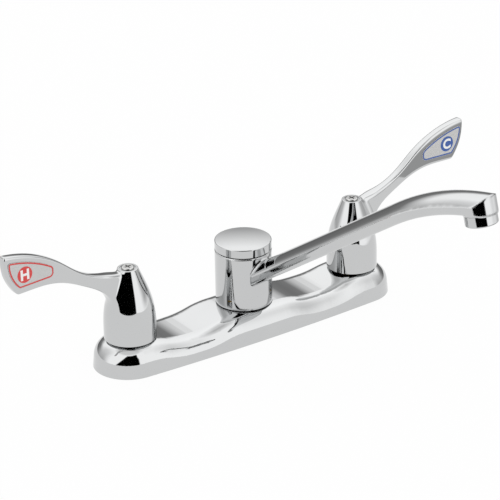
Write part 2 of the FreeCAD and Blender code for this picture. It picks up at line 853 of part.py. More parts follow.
def make_aerator():
    thread = size.outlet_radius - size.fit_gap
    top = -size.aerator_gap
    bottom = top - size.aerator_height
    thread_top = size.aerator_thread
    lip_top = bottom + size.aerator_lip_height
    edge = size.rim_radius * 2
    outlet_piece("aerator_housing", [
        (size.aerator_lip, bottom),
        (size.aerator_radius - edge, bottom),
        (size.aerator_radius, bottom + edge),
        (size.aerator_radius, top),
        (thread, top),
        (thread, thread_top),
        (size.aerator_bore, thread_top),
        (size.aerator_bore, lip_top),
        (size.aerator_lip, lip_top),
    ], {1: (edge, 1)})
    screen = size.aerator_bore - size.fit_gap
    screen_bottom = lip_top + size.face_gap
    screen_top = screen_bottom + size.screen_thickness
    outlet_piece("aerator_screen", [
        (ZERO, screen_bottom),
        (screen, screen_bottom),
        (screen, screen_top),
        (ZERO, screen_top),
    ])
    gasket_bottom = thread_top + size.face_gap
    gasket_top = size.outlet_depth - size.face_gap
    outlet_piece("aerator_gasket", [
        (size.aerator_lip, gasket_bottom),
        (thread, gasket_bottom),
        (thread, gasket_top),
        (size.aerator_lip, gasket_top),
    ])


cone_start = size.handle_shoulder + size.handle_shoulder_radius * sine(size.handle_cone)
cone_radius = size.handle_radius - size.handle_shoulder_radius * (1 - cosine(size.handle_cone))
rim_radius = cone_radius - tangent(size.handle_cone) * (size.handle_top - cone_start)
recess_floor = size.handle_top - size.screw_recess_depth
neck_across = rim_radius + size.blade_neck_radius * sine(size.blade_top_rise)
neck_up = size.handle_top + size.blade_neck_radius * (1 - cosine(size.blade_top_rise))
tip_across = neck_across + size.blade_back_radius * (sine(size.blade_top_rise) - sine(size.blade_tip_rise))
tip_up = neck_up + size.blade_back_radius * (cosine(size.blade_tip_rise) - cosine(size.blade_top_rise))
blade_half = size.blade_thickness / 2


def blade_half_at(across):
    """Half the blade's thickness at a distance from the handle's axis."""
    short = max(size.blade_flare_end.number - across, 0)
    flare = size.blade_flare_radius.number
    return blade_half.number + flare - math.sqrt(flare * flare - short * short)


def on_blade_corner(edge):
    """True for the two edges across the blade's thickness at its tip."""
    box = edge.BoundBox
    if box.YLength < size.blade_thickness.number - TOUCH:
        return False
    return box.XMin > size.blade_bottom_length.number - TOUCH


def on_blade_outline(edge):
    """True for the edges around the blade's two faces."""
    return max(abs(abs(point.y) - blade_half_at(point.x)) for point in edge.discretize(7)) < TOUCH


def draw_blade(sketch):
    """The blade's side view: a slim neck that rises from the hub to a wide paddle."""
    rise = size.blade_foot_rise
    droop = size.blade_belly_droop
    foot_across = rim_radius / 2
    belly_across = foot_across + size.blade_neck_length
    belly_up = size.blade_foot_height + tangent(rise) * size.blade_neck_length
    droop_across = belly_across + size.blade_belly_radius * (sine(rise) + sine(droop))
    droop_up = belly_up + size.blade_belly_radius * (cosine(droop) - cosine(rise))
    bottom_up = droop_up - tangent(droop) * (size.blade_bottom_length - droop_across)
    corners = [
        (foot_across, size.blade_foot_height),
        (belly_across, belly_up),
        (droop_across, droop_up),
        (size.blade_bottom_length, bottom_up),
        (tip_across, tip_up),
        (neck_across, neck_up),
        (rim_radius, size.handle_top),
        (foot_across, size.handle_top),
    ]
    arcs = {
        1: (size.blade_belly_radius, -1),
        3: (size.blade_tip_radius, 1),
        4: (size.blade_back_radius, 1),
        5: (size.blade_neck_radius, -1),
    }
    draw(sketch, corners, arcs)


def draw_blade_plan(sketch):
    """What is cut from both sides of the blade: it flares towards the hub and is flat beyond."""
    foot = rim_radius / 4
    short = size.blade_flare_end - foot
    flare = size.blade_flare_radius
    foot_half = blade_half + flare - root(flare * flare - short * short)
    wide = size.handle_radius * 2
    far = tip_across + size.handle_radius
    near = -size.handle_radius
    corners = [(near, foot_half), (foot, foot_half), (size.blade_flare_end, blade_half), (far, blade_half)]
    corners += [(far, wide), (near, wide)]
    draw(sketch, corners, {1: (flare, 1)})
    mirrored = [(across, -up) for across, up in corners]
    draw(sketch, mirrored, {1: (flare, -1)})


def make_index_plate(side_name, side, rest_turn):
    """The thin plate on the blade's front face; its upper edge runs along the blade's back."""
    label = side_name + "_index_plate"
    body = new_body(label)
    sketch = new_sketch(body, label + "_outline", "XZ_Plane")
    back = size.blade_back_radius - size.index_inset
    centre_across = neck_across + size.blade_back_radius * sine(size.blade_top_rise)
    centre_up = neck_up - size.blade_back_radius * cosine(size.blade_top_rise)
    inner_run = centre_across - size.index_inner
    outer_across = tip_across - size.index_tip_inset
    outer_run = centre_across - outer_across
    draw(sketch, [
        (size.index_inner, size.index_inner_height),
        (size.blade_bottom_length - size.index_foot_inset, size.index_outer_height),
        (outer_across, centre_up + root(back * back - outer_run * outer_run)),
        (size.index_inner, centre_up + root(back * back - inner_run * inner_run)),
    ], {1: (size.index_tip_radius, 1), 2: (back, 1)})
    shift(sketch, out=(blade_half + size.face_gap) * side)
    extrude(body, "Pad", sketch, label + "_sheet", size.index_thickness, reverse=side < 0)
    thickness = size.index_thickness.number - TOUCH
    inner = size.index_inner.number + TOUCH
    round_edges(body, label + "_end", size.index_end_radius,
                lambda edge: edge.BoundBox.YLength > thickness and edge.BoundBox.XMax < inner)
    tip = size.blade_bottom_length.number - size.index_foot_inset.number - TOUCH
    round_edges(body, label + "_corners", size.index_corner_radius,
                lambda edge: edge.BoundBox.YLength > thickness and edge.BoundBox.XMin > tip)
    place(body, half_spacing * side, rest_turn)
    keep(body, label)


def make_handle(side_name, side, rest_turn):
    label = side_name + "_handle"
    body = new_body(label)
    blade = new_sketch(body, label + "_blade_outline", "XZ_Plane")
    draw_blade(blade)
    extrude(body, "Pad", blade, label + "_blade", size.handle_radius * 2, middle=True)
    plan = new_sketch(body, label + "_blade_plan", "XY_Plane")
    draw_blade_plan(plan)
    extrude(body, "Pocket", plan, label + "_blade_sides", size.handle_top * 4, middle=True)
    round_edges(body, label + "_tip_corners", size.blade_corner_radius, on_blade_corner)
    round_edges(body, label + "_blade_edges", size.blade_edge_radius, on_blade_outline)
    section = new_sketch(body, label + "_section", "XZ_Plane")
    draw(section, [
        (ZERO, skirt_height),
        (size.handle_radius, skirt_height),
        (size.handle_radius, size.handle_shoulder),
        (cone_radius, cone_start),
        (rim_radius, size.handle_top),
        (ZERO, size.handle_top),
    ], {2: (size.handle_shoulder_radius, 1)})
    revolve(body, "Revolution", section, label + "_hub")
    cavity = new_sketch(body, label + "_cavity_section", "XZ_Plane")
    socket = size.stem_radius + size.fit_gap
    socket_top = size.stem_top + size.fit_gap
    screw_hole = size.screw_radius + size.fit_gap
    draw(cavity, [
        (ZERO, ZERO),
        (size.handle_cavity_radius, ZERO),
        (size.handle_cavity_radius, size.handle_cavity_shoulder),
        (size.handle_cavity_tip, size.handle_cavity_top),
        (socket, size.handle_cavity_top),
        (socket, socket_top),
        (screw_hole, socket_top),
        (screw_hole, recess_floor),
        (size.screw_recess_radius, recess_floor),
        (size.screw_recess_radius, size.handle_top * 2),
        (ZERO, size.handle_top * 2),
    ])
    revolve(body, "Groove", cavity, label + "_cavity")
    place(body, half_spacing * side, rest_turn)
    keep(body, label)


def make_handle_screw(side_name, side, rest_turn):
    label = side_name + "_handle_screw"
    bottom = recess_floor + size.face_gap
    top = bottom + size.screw_head_height
    shank_end = recess_floor - size.screw_length
    head = size.screw_head_radius
    edge = size.screw_head_edge
    body = turned(label, [
        (ZERO, shank_end),
        (size.screw_radius, shank_end),
        (size.screw_radius, bottom),
        (head, bottom),
        (head, top - edge),
        (head - edge, top),
        (ZERO, top),
    ], half_spacing * side, rest_turn, {4: (edge, 1)})
    cross = new_sketch(body, label + "_cross_outline", "XY_Plane")
    shift(cross, out=top)
    arm = size.screw_slot_length / 2
    half = size.screw_slot / 2
    quarter = [(arm, -half), (arm, half), (half, half)]
    corners = []
    for quarter_turn in range(4):
        corners += quarter
        quarter = [(-up, across) for across, up in quarter]
    draw(cross, corners)
    extrude(body, "Pocket", cross, label + "_cross", size.screw_slot_depth)


# Heights inside a valve, stacked up from the seat
seal_top = size.seat_height + size.seal_height
fixed_bottom = seal_top + size.face_gap
fixed_top = fixed_bottom + size.disc_thickness
moving_bottom = fixed_top + size.face_gap
moving_top = moving_bottom + size.disc_thickness
foot_bottom = moving_top + size.face_gap
foot_top = foot_bottom + size.stem_foot_thickness


def make_disc(label, radius, bottom, hole_across, hole_up, across, rest_turn=ZERO):
    """A ceramic disc with one water hole off its centre."""
    top = bottom + size.disc_thickness
    body = turned(label, [(ZERO, bottom), (radius, bottom), (radius, top), (ZERO, top)], across, rest_turn)
    hole = new_sketch(body, label + "_hole_circle", "XY_Plane")
    draw_circle(hole, size.disc_hole_radius, hole_across, hole_up)
    extrude(body, "Pocket", hole, label + "_hole", size.handle_top, middle=True)


def make_fixed_valve_pieces(side_name, side):
    """Seal, fixed disc, cartridge shell and bonnet nut, which stay in the valve body."""
    across = half_spacing * side
    seal_radius = size.disc_radius - size.fit_gap
    shell_radius = size.chamber_radius - size.fit_gap
    shell_bottom = size.seat_height + size.face_gap
    ring(side_name + "_seat_seal", size.seal_bore, seal_radius, shell_bottom, seal_top, across)
    make_disc(side_name + "_fixed_disc", size.disc_radius, fixed_bottom, ZERO, -size.disc_hole_offset, across)
    stem_bore = size.stem_radius + size.running_fit
    pocket_top = foot_top + size.fit_gap
    label = side_name + "_cartridge_shell"
    shell = turned(label, [
        (size.cartridge_pocket_radius, shell_bottom),
        (shell_radius, shell_bottom),
        (shell_radius, valve_neck_top),
        (size.cartridge_neck_radius, valve_neck_top),
        (size.cartridge_neck_radius, size.cartridge_top),
        (stem_bore, size.cartridge_top),
        (stem_bore, pocket_top),
        (size.cartridge_pocket_radius, pocket_top),
    ], across)
    bore_across(shell, label + "_window", "YZ_Plane", size.cartridge_window_radius, moving_bottom,
                size.chamber_radius * 4, both=True)
    thread = size.neck_radius + size.fit_gap
    lip_bottom = valve_neck_top + size.face_gap
    lip_top = lip_bottom + size.bonnet_lip
    lip = size.cartridge_neck_radius + size.fit_gap
    bonnet_bottom = size.plate_crest + size.face_gap
    turned(side_name + "_bonnet_nut", [
        (thread, bonnet_bottom),
        (size.bonnet_radius, bonnet_bottom),
        (size.bonnet_radius, lip_top),
        (lip, lip_top),
        (lip, lip_bottom),
        (thread, lip_bottom),
    ], across)


def make_turning_valve_pieces(side_name, side, rest_turn):
    """Moving disc, stem and stem ring, which turn with the handle.

    The moving disc's hole lies under the blade.
    It meets the fixed disc's hole once the blade points forward.
    """
    across = half_spacing * side
    radius = size.disc_radius - size.fit_gap
    make_disc(side_name + "_moving_disc", radius, moving_bottom, size.disc_hole_offset, ZERO, across,
              rest_turn)
    groove = size.stem_radius - size.o_ring_cord * 2
    low = size.stem_ring_height - size.o_ring_cord - size.fit_gap
    high = size.stem_ring_height + size.o_ring_cord + size.fit_gap
    hole = size.screw_radius + size.fit_gap
    hole_floor = recess_floor - size.screw_length - size.screw_radius
    turned(side_name + "_stem", [
        (ZERO, foot_bottom),
        (radius, foot_bottom),
        (radius, foot_top),
        (size.stem_radius, foot_top),
        (size.stem_radius, low),
        (groove, low),
        (groove, high),
        (size.stem_radius, high),
        (size.stem_radius, size.stem_top),
        (hole, size.stem_top),
        (hole, hole_floor),
        (ZERO, hole_floor),
    ], across, rest_turn)
    torus = doc.addObject("Part::Torus", side_name + "_stem_ring")
    bind(torus, Radius1=size.stem_radius - size.o_ring_cord, Radius2=size.o_ring_cord,
         Placement__Base__x=across, Placement__Base__z=size.stem_ring_height)
    doc.recompute()
    keep(torus, side_name + "_stem_ring")


def write_parts():
    """Writes every sub-part's solid, once all of them have been found sound."""
    doc.recompute()
    for thing in doc.Objects:
        if "Invalid" in thing.State or "Error" in thing.State:
            raise RuntimeError("not built: " + thing.Name)
    for thing in parts:
        if thing.Shape.isNull() or not thing.Shape.isValid():
            raise RuntimeError("not a sound solid: " + thing.Label)
    os.makedirs("parts", exist_ok=True)
    for thing in parts:
        thing.Shape.exportStep("parts/" + thing.Label + ".step")


make_base_plate()
make_gasket()
make_spout_post()
make_spout_seals()
make_retaining_clip()
make_deck_fasteners()
make_spout()
make_cap()
make_aerator()
for side_name, side, rest_turn in SIDES:
    make_valve_body(side_name, side)
    make_crossover_tube(side_name, side)
    make_fixed_valve_pieces(side_name, side)
    make_turning_valve_pieces(side_name, side, rest_turn)
    make_handle(side_name, side, rest_turn)
    make_handle_screw(side_name, side, rest_turn)
    make_index_plate(side_name, side, rest_turn)
write_parts()
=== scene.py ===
import bpy
import bmesh
import math
from mathutils import Matrix, Vector, geometry


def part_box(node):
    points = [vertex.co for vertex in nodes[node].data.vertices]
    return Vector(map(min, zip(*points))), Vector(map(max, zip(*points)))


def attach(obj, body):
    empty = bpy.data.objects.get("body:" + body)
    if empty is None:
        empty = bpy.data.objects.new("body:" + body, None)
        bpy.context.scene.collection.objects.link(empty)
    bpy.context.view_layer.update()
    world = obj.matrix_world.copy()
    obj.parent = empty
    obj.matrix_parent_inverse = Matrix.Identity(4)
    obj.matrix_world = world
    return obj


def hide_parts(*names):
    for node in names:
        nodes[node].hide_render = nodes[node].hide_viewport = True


# Centreset kitchen faucet in polished chrome, on a pale worktop under soft studio light.
# Metres, in the frame's own axes: +Z up, +X towards the cold valve, the user on the -Y side.

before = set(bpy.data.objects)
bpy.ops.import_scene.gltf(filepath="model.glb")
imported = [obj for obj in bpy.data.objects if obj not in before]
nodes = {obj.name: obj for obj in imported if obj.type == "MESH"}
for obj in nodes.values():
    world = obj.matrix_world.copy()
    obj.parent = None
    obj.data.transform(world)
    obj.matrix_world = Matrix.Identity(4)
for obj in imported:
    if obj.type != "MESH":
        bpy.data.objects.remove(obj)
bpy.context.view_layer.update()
scene = bpy.context.scene
MM = 0.001

# The view of the photograph
CAMERA_AZIMUTH = math.radians(-34.73)
CAMERA_ELEVATION = math.radians(25.05)
CAMERA_ROLL = math.radians(-1.0)
CAMERA_DISTANCE = 1.9042
CAMERA_TARGET = Vector((6.25 * MM, 0, 60.76 * MM))
CAMERA_LENS = 183.44
CAMERA_SENSOR = 36.0
CAMERA_FAR = 100

towards_camera = Vector((math.sin(CAMERA_AZIMUTH), -math.cos(CAMERA_AZIMUTH), 0))
camera_right = Vector((math.cos(CAMERA_AZIMUTH), math.sin(CAMERA_AZIMUTH), 0))


def hex_colour(code):
    """A linear colour with full alpha from an sRGB hex code."""
    channels = [int(code[place:place + 2], 16) / 255 for place in (1, 3, 5)]
    linear = []
    for value in channels:
        linear.append(value / 12.92 if value <= 0.04045 else ((value + 0.055) / 1.055) ** 2.4)
    return (*linear, 1.0)


def add(tree, kind, settings=None, inputs=None):
    """Adds a node, sets its properties, and sets or links its inputs by name or number."""
    node = tree.nodes.new(kind)
    for name, value in (settings or {}).items():
        setattr(node, name, value)
    for key, value in (inputs or {}).items():
        if isinstance(value, bpy.types.NodeSocket):
            tree.links.new(value, node.inputs[key])
        else:
            node.inputs[key].default_value = value
    return node


def set_camera():
    """The photograph's camera, with its slight roll."""
    data = bpy.data.cameras.new("photo_camera")
    data.sensor_width = CAMERA_SENSOR
    data.lens = CAMERA_LENS
    data.clip_end = CAMERA_FAR
    camera = bpy.data.objects.new("photo_camera", data)
    scene.collection.objects.link(camera)
    rise = Vector((0, 0, 1))
    back = towards_camera * math.cos(CAMERA_ELEVATION) + rise * math.sin(CAMERA_ELEVATION)
    up = back.cross(camera_right)
    right = camera_right * math.cos(CAMERA_ROLL) + up * math.sin(CAMERA_ROLL)
    up = up * math.cos(CAMERA_ROLL) - camera_right * math.sin(CAMERA_ROLL)
    turn = Matrix((right, up, back)).transposed().to_4x4()
    camera.matrix_world = Matrix.Translation(CAMERA_TARGET + back * CAMERA_DISTANCE) @ turn
    scene.camera = camera


# The studio, as the metal sees it: pairs of elevation in degrees and brightness against white.
# The front is one tall soft box, the sides fade above the horizon, and the back has a dark low wall
# with a second soft box over it.
NADIR = -90
ZENITH = 90
FRONT_LIGHT = ((NADIR, 0.5), (-20, 0.5), (-8, 1.4), (60, 1.4), (68, 0.95), (ZENITH, 0.9))
SIDE_LIGHT = ((NADIR, 0.4), (-20, 0.4), (-8, 1.2), (1, 0.6), (40, 1.0), (60, 1.35), (75, 0.75),
              (ZENITH, 0.75))
BACK_LIGHT = ((NADIR, 1), (-4, 0.65), (0, 0.15), (17, 0.28), (29, 1.35), (60, 1.5), (76, 0.95),
              (ZENITH, 0.9))
# Azimuths in degrees from the camera where the front gives way to the sides, and the sides to the back
FRONT_END = (62, 95)
SIDE_END = (108, 140)
# The dark gap around the camera: azimuths in degrees from it, and how they lean with elevation
GAP_LEFT = -43
GAP_LEFT_LEAN = 0.55
GAP_RIGHT = 37
GAP_RIGHT_LEAN = 0.05
GAP_BOTTOM = -26
GAP_TOP = 62
GAP_EDGE = 5
AMBIENT = 0.95


def light_curve(tree, share, stops):
    """Brightness over elevation, from pairs of degrees and brightness."""
    node = add(tree, "ShaderNodeValToRGB", inputs={0: share})
    elements = node.color_ramp.elements
    for angle, level in stops[1:-1]:
        elements.new((angle - NADIR) / (ZENITH - NADIR))
    highest = max(level for angle, level in stops)
    for element, (angle, level) in zip(elements, stops):
        element.color = (level / highest, level / highest, level / highest, 1)
    scaled = add(tree, "ShaderNodeMath", {"operation": "MULTIPLY"}, {0: node.outputs[0], 1: highest})
    return scaled.outputs[0]


def dark_gap(tree, azimuth, elevation):
    """0 in the dark gap around the camera and 1 outside it."""
    left_edge = add(tree, "ShaderNodeMath", {"operation": "MULTIPLY_ADD"},
                    {0: elevation, 1: GAP_LEFT_LEAN, 2: GAP_LEFT}).outputs[0]
    right_edge = add(tree, "ShaderNodeMath", {"operation": "MULTIPLY_ADD"},
                     {0: elevation, 1: GAP_RIGHT_LEAN, 2: GAP_RIGHT}).outputs[0]
    depth = add(tree, "ShaderNodeMath", {"operation": "SUBTRACT"}, {0: elevation, 1: GAP_BOTTOM}).outputs[0]
    for high, low in ((azimuth, left_edge), (right_edge, azimuth), (GAP_TOP, elevation)):
        inside = add(tree, "ShaderNodeMath", {"operation": "SUBTRACT"}, {0: high, 1: low}).outputs[0]
        depth = add(tree, "ShaderNodeMath", {"operation": "MINIMUM"}, {0: depth, 1: inside}).outputs[0]
    return add(tree, "ShaderNodeMapRange", {"interpolation_type": "SMOOTHSTEP"},
               {0: depth, 1: 0, 2: GAP_EDGE, 3: 1, 4: 0}).outputs[0]


def set_world():
    """A white room with large soft boxes at the front and back, and a dark gap around the camera."""
    world = bpy.data.worlds.new("studio")
    scene.world = world
    world.use_nodes = True
    tree = world.node_tree
    tree.nodes.clear()
    place = add(tree, "ShaderNodeTexCoord").outputs["Generated"]
    axes = add(tree, "ShaderNodeSeparateXYZ", inputs={0: place})
    towards = add(tree, "ShaderNodeVectorMath", {"operation": "DOT_PRODUCT"}, {0: place, 1: towards_camera})
    right = add(tree, "ShaderNodeVectorMath", {"operation": "DOT_PRODUCT"}, {0: place, 1: camera_right})
    rise = add(tree, "ShaderNodeMath", {"operation": "ARCSINE"}, {0: axes.outputs["Z"]})
    elevation = add(tree, "ShaderNodeMath", {"operation": "DEGREES"}, {0: rise.outputs[0]}).outputs[0]
    share = add(tree, "ShaderNodeMapRange", inputs={0: elevation, 1: NADIR, 2: ZENITH, 3: 0, 4: 1}).outputs[0]
    swing = add(tree, "ShaderNodeMath", {"operation": "ARCTAN2"},
                {0: right.outputs["Value"], 1: towards.outputs["Value"]})
    azimuth = add(tree, "ShaderNodeMath", {"operation": "DEGREES"}, {0: swing.outputs[0]}).outputs[0]
    turned = add(tree, "ShaderNodeMath", {"operation": "ABSOLUTE"}, {0: azimuth}).outputs[0]
    room = light_curve(tree, share, FRONT_LIGHT)
    for stops, (start, end) in ((SIDE_LIGHT, FRONT_END), (BACK_LIGHT, SIDE_END)):
        further = add(tree, "ShaderNodeMapRange", {"interpolation_type": "SMOOTHSTEP"},
                      {0: turned, 1: start, 2: end, 3: 0, 4: 1}).outputs[0]
        room = add(tree, "ShaderNodeMix", {"data_type": "FLOAT"},
                   {0: further, 2: room, 3: light_curve(tree, share, stops)}).outputs[0]
    mirrored = add(tree, "ShaderNodeMath", {"operation": "MULTIPLY"},
                   {0: room, 1: dark_gap(tree, azimuth, elevation)}).outputs[0]
    path = add(tree, "ShaderNodeLightPath")
    plain = add(tree, "ShaderNodeMix", {"data_type": "FLOAT"},
                {0: path.outputs["Is Camera Ray"], 2: AMBIENT, 3: 1.0}).outputs[0]
    strength = add(tree, "ShaderNodeMix", {"data_type": "FLOAT"},
                   {0: path.outputs["Is Glossy Ray"], 2: plain, 3: mirrored}).outputs[0]
    background = add(tree, "ShaderNodeBackground", inputs={"Color": (1, 1, 1, 1), "Strength": strength})
    add(tree, "ShaderNodeOutputWorld", inputs={"Surface": background.outputs[0]})


# The worktop's reach from the origin: towards the camera, away from it, and to each side
TABLE_FRONT = 0.55
TABLE_BACK = 0.9
TABLE_LEFT = 0.65
TABLE_RIGHT = 0.31
TABLE_DROP = Vector((0, 0, -0.1 * MM))
FLOOR_WHITE = 0.96
FLOOR_MIRRORED = 0.96


def make_floor():
    """A worktop of pale matt laminate, pressed smooth.

    It shows as white, keeps a faint shadow and is clear from below.
    """
    corners = []
    for ahead, across in ((TABLE_FRONT, -TABLE_LEFT), (TABLE_FRONT, TABLE_RIGHT), (-TABLE_BACK, TABLE_RIGHT),
                          (-TABLE_BACK, -TABLE_LEFT)):
        corners.append(towards_camera * ahead + camera_right * across + TABLE_DROP)
    mesh = bpy.data.meshes.new("worktop")
    mesh.from_pydata(corners, [], [(0, 1, 2, 3)])
    floor = bpy.data.objects.new("worktop", mesh)
    scene.collection.objects.link(floor)
    material = bpy.data.materials.new("pale_worktop")
    material.use_nodes = True
    tree = material.node_tree
    tree.nodes.clear()
    path = add(tree, "ShaderNodeLightPath")
    seen = path.outputs["Is Camera Ray"]
    for name in ("Is Glossy Ray", "Is Transmission Ray"):
        seen = add(tree, "ShaderNodeMath", {"operation": "MAXIMUM"},
                   {0: seen, 1: path.outputs[name]}).outputs[0]
    share = add(tree, "ShaderNodeMath", {"operation": "MULTIPLY"}, {0: seen, 1: FLOOR_WHITE}).outputs[0]
    matt = add(tree, "ShaderNodeBsdfDiffuse", inputs={"Color": hex_colour("#F6F6F6")})
    glow = add(tree, "ShaderNodeMix", {"data_type": "FLOAT"},
               {0: path.outputs["Is Glossy Ray"], 2: 1.0, 3: FLOOR_MIRRORED}).outputs[0]
    white = add(tree, "ShaderNodeEmission", inputs={"Color": (1, 1, 1, 1), "Strength": glow})
    mixed = add(tree, "ShaderNodeMixShader", inputs={0: share, 1: matt.outputs[0], 2: white.outputs[0]})
    below = add(tree, "ShaderNodeNewGeometry").outputs["Backfacing"]
    clear = add(tree, "ShaderNodeBsdfTransparent")
    sided = add(tree, "ShaderNodeMixShader", inputs={0: below, 1: mixed.outputs[0], 2: clear.outputs[0]})
    add(tree, "ShaderNodeOutputMaterial", inputs={"Surface": sided.outputs[0]})
    mesh.materials.append(material)


METAL = 1.0
NOT_METAL = 0.0
# Where a pattern spends most of its range, and how strongly a relief shows
PATTERN_LOW = 0.3
PATTERN_HIGH = 0.7
RELIEF = 0.5
BUFFED_EDGE = 2.5 * MM
EDGE_SAMPLES = 8
# Rolling draws the label's grain out along the plate
LABEL_GRAIN = (0.05, 1.0, 1.0)


def scale_of(size):
    """The scale of a pattern whose marks are so many millimetres across."""
    return 1 / (size * MM)


def new_material(name):
    """A bare material, with its tree and its object coordinates."""
    material = bpy.data.materials.new(name)
    material.use_nodes = True
    tree = material.node_tree
    tree.nodes.clear()
    place = add(tree, "ShaderNodeTexCoord").outputs["Object"]
    return material, tree, place


def coat(material, metallic, pattern, colours, roughness, normal=None):
    """Lets colour and gloss follow a pattern, each between two values, over a relief if there is one."""
    tree = material.node_tree
    tint = add(tree, "ShaderNodeMix", {"data_type": "RGBA"},
               {0: pattern, 6: hex_colour(colours[0]), 7: hex_colour(colours[1])})
    gloss = add(tree, "ShaderNodeMapRange",
                inputs={0: pattern, 1: PATTERN_LOW, 2: PATTERN_HIGH, 3: roughness[0], 4: roughness[1]})
    shader = add(tree, "ShaderNodeBsdfPrincipled",
                 inputs={"Metallic": metallic, "Base Color": tint.outputs[2], "Roughness": gloss.outputs[0]})
    if normal:
        tree.links.new(normal, shader.inputs["Normal"])
    add(tree, "ShaderNodeOutputMaterial", inputs={"Surface": shader.outputs[0]})
    return material


def polished_chrome(name, edge=None):
    """Chrome plate over buffed zinc castings: a near mirror, with the faint haze that a cloth leaves.

    Where an edge is given, the buffing wheel has softened the casting's edges by that width.
    """
    material, tree, place = new_material(name)
    haze = add(tree, "ShaderNodeTexNoise", inputs={"Vector": place, "Scale": scale_of(40), "Detail": 3.0})
    soft = None
    if edge:
        soft = add(tree, "ShaderNodeBevel", {"samples": EDGE_SAMPLES}, {"Radius": edge}).outputs[0]
    return coat(material, METAL, haze.outputs[0], ("#C5C6C7", "#CBCCCC"), (0.025, 0.05), soft)


def turned_steel():
    """Stainless screw stock, turned on a lathe: fine rings, a little duller than the chrome."""
    material, tree, place = new_material("turned_stainless")
    rings = add(tree, "ShaderNodeTexWave", {"wave_type": "RINGS", "rings_direction": "Z"},
                {"Vector": place, "Scale": scale_of(0.5), "Distortion": 1.5})
    return coat(material, METAL, rings.outputs["Fac"], ("#BDBDBC", "#CCCCCB"), (0.1, 0.18))


def plated_steel():
    """Pressed steel with bright zinc plating, slightly clouded by its passivation bath."""
    material, tree, place = new_material("zinc_plated_steel")
    cloud = add(tree, "ShaderNodeTexNoise",
                inputs={"Vector": place, "Scale": scale_of(4), "Detail": 5.0}).outputs[0]
    relief = add(tree, "ShaderNodeBump", inputs={"Height": cloud, "Distance": 0.03 * MM, "Strength": RELIEF})
    return coat(material, METAL, cloud, ("#A9ADB1", "#C3C2BA"), (0.22, 0.38), relief.outputs[0])


def turned_brass():
    """Free-cutting brass as it leaves the lathe: warm yellow with close tool marks across the axis."""
    material, tree, place = new_material("turned_brass")
    marks = add(tree, "ShaderNodeTexWave", {"wave_type": "BANDS", "bands_direction": "Z"},
                {"Vector": place, "Scale": scale_of(0.9), "Distortion": 2.0, "Detail": 3.0}).outputs["Fac"]
    relief = add(tree, "ShaderNodeBump", inputs={"Height": marks, "Distance": 0.02 * MM, "Strength": RELIEF})
    return coat(material, METAL, marks, ("#BD9A4E", "#CDAE66"), (0.2, 0.34), relief.outputs[0])


def nitrile_rubber():
    """Moulded black nitrile: matt, with a fine grain and a trace of release powder."""
    material, tree, place = new_material("nitrile_rubber")
    grain = add(tree, "ShaderNodeTexNoise",
                inputs={"Vector": place, "Scale": scale_of(0.6), "Detail": 4.0}).outputs[0]
    relief = add(tree, "ShaderNodeBump", inputs={"Height": grain, "Distance": 0.04 * MM, "Strength": RELIEF})
    return coat(material, NOT_METAL, grain, ("#151515", "#262626"), (0.6, 0.8), relief.outputs[0])


def black_acetal():
    """Black acetal, injection moulded: smooth and waxy, with faint flow marks."""
    material, tree, place = new_material("black_acetal")
    flow = add(tree, "ShaderNodeTexNoise", inputs={"Vector": place, "Scale": scale_of(5), "Distortion": 1.0})
    return coat(material, NOT_METAL, flow.outputs[0], ("#131313", "#1D1D1E"), (0.38, 0.5))


def white_acetal():
    """Natural white acetal, injection moulded: satin, with faint flow marks."""
    material, tree, place = new_material("white_acetal")
    flow = add(tree, "ShaderNodeTexNoise", inputs={"Vector": place, "Scale": scale_of(6), "Distortion": 1.0})
    return coat(material, NOT_METAL, flow.outputs[0], ("#DCDCD7", "#E6E6E2"), (0.35, 0.48))


def lapped_ceramic():
    """Alumina discs, lapped flat: off white, glossy, with a speckle a tenth of a millimetre across."""
    material, tree, place = new_material("lapped_ceramic")
    speck = add(tree, "ShaderNodeTexVoronoi", inputs={"Vector": place, "Scale": scale_of(0.1)})
    return coat(material, NOT_METAL, speck.outputs["Distance"], ("#F0EFEC", "#E6E5E1"), (0.1, 0.22))


def satin_label():
    """Silver lacquered label sheet: a satin grey with the grain of the rolled metal under it."""
    material, tree, place = new_material("satin_label")
    along = add(tree, "ShaderNodeMapping", inputs={"Vector": place, "Scale": LABEL_GRAIN})
    grain = add(tree, "ShaderNodeTexNoise",
                inputs={"Vector": along.outputs[0], "Scale": scale_of(0.4), "Detail": 3.0})
    return coat(material, NOT_METAL, grain.outputs[0], ("#C6C6C5", "#CBCBCA"), (0.45, 0.52))


def printed_ink(name, thin, full):
    """Screen-printed enamel: an even coat that is thinner here and there over the cloth's mesh."""
    material, tree, place = new_material(name)
    cloth = add(tree, "ShaderNodeTexNoise", inputs={"Vector": place, "Scale": scale_of(0.8), "Detail": 2.0})
    return coat(material, NOT_METAL, cloth.outputs[0], (thin, full), (0.35, 0.45))


def paint(material, *names):
    """Gives a material to solids of the frame."""
    for name in names:
        mesh = nodes[name].data
        mesh.materials.clear()
        mesh.materials.append(material)


def new_piece(name, mesh, material, body):
    """Puts a finished mesh into the scene as a piece of a moving body."""
    mesh.name = name
    mesh.materials.clear()
    mesh.materials.append(material)
    piece = bpy.data.objects.new(name, mesh)
    scene.collection.objects.link(piece)
    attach(piece, body)
    return piece


def settled(data, kind=None, set_up=None):
    """The plain mesh that some object data gives, alone or with one modifier."""
    blank = bpy.data.objects.new("blank", data)
    scene.collection.objects.link(blank)
    if kind:
        set_up(blank.modifiers.new("shape", kind))
    shapes = bpy.context.evaluated_depsgraph_get()
    mesh = bpy.data.meshes.new_from_object(blank.evaluated_get(shapes))
    bpy.data.objects.remove(blank)
    return mesh


